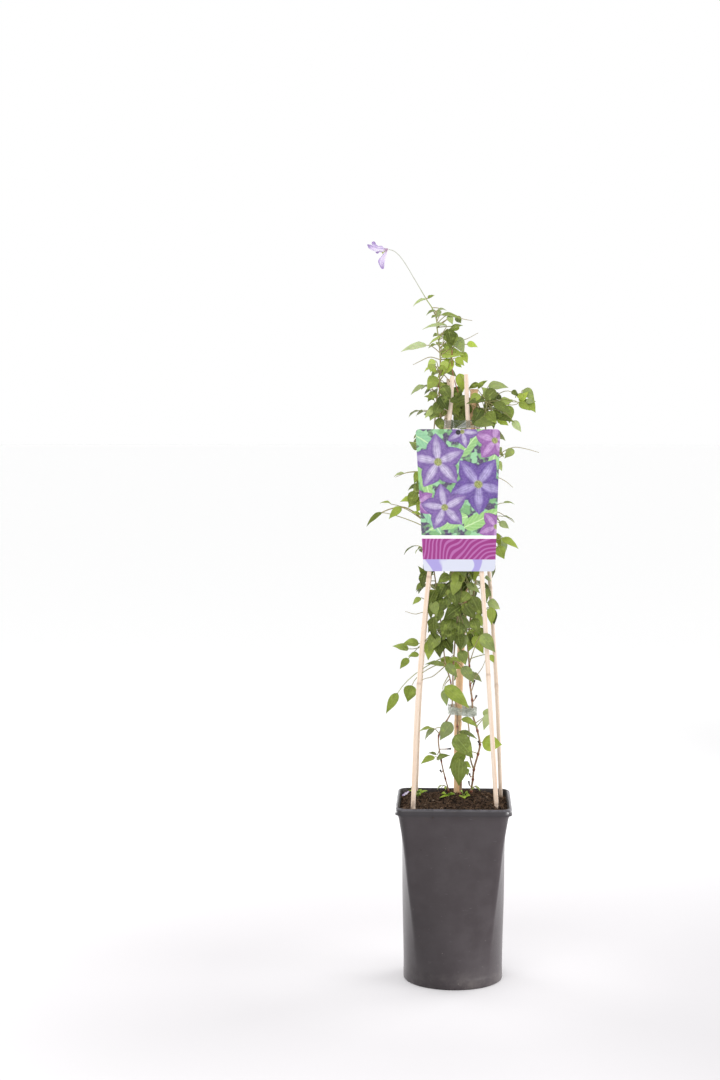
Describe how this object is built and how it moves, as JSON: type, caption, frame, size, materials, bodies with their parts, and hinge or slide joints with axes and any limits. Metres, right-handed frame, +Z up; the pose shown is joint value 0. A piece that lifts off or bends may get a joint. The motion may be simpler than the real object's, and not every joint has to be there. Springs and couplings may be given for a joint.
{
  "type": "potted climbing plant",
  "caption": "Young clematis climbing a slim pyramid of bamboo canes in a tall nursery pot, with a picture label on the canes and a nodding violet bell flower.",
  "frame": {"origin": "middle of the pot's foot, on the surface it stands on", "axes": "+Z up along the canes, -Y towards the side that the label faces, +X to the right of someone who looks at the label"},
  "size_m": [0.2031, 0.1368, 0.8753],
  "materials": {
    "pot": "moulded, finely matt",
    "soil": null,
    "pale_bamboo": "split and peeled, dry",
    "tan_bamboo": "natural rind, faintly waxy",
    "tape": "thin, cloudy",
    "card": "printed and coated",
    "peg": "smooth",
    "leaf": null,
    "weed": null,
    "sepal": null,
    "stamen": null
  },
  "bodies": {
    "root": {"pot": "pot", "soil": "soil", "cane_front_left": "pale_bamboo", "cane_front_right": "pale_bamboo", "cane_back_left": "pale_bamboo", "cane_back_right": "pale_bamboo", "centre_stake": "tan_bamboo", "lower_tape": "tape", "upper_tape": "tape", "label": "card", "label_peg": "peg", "left_stem": "leaf", "right_stem": "leaf", "front_stem": "leaf", "tall_stem": "leaf", "flower_sepals": "sepal", "flower_stamens": "stamen", "weed_seedling": "weed", "fallen_petal": "sepal"}
  },
  "joints": []
}
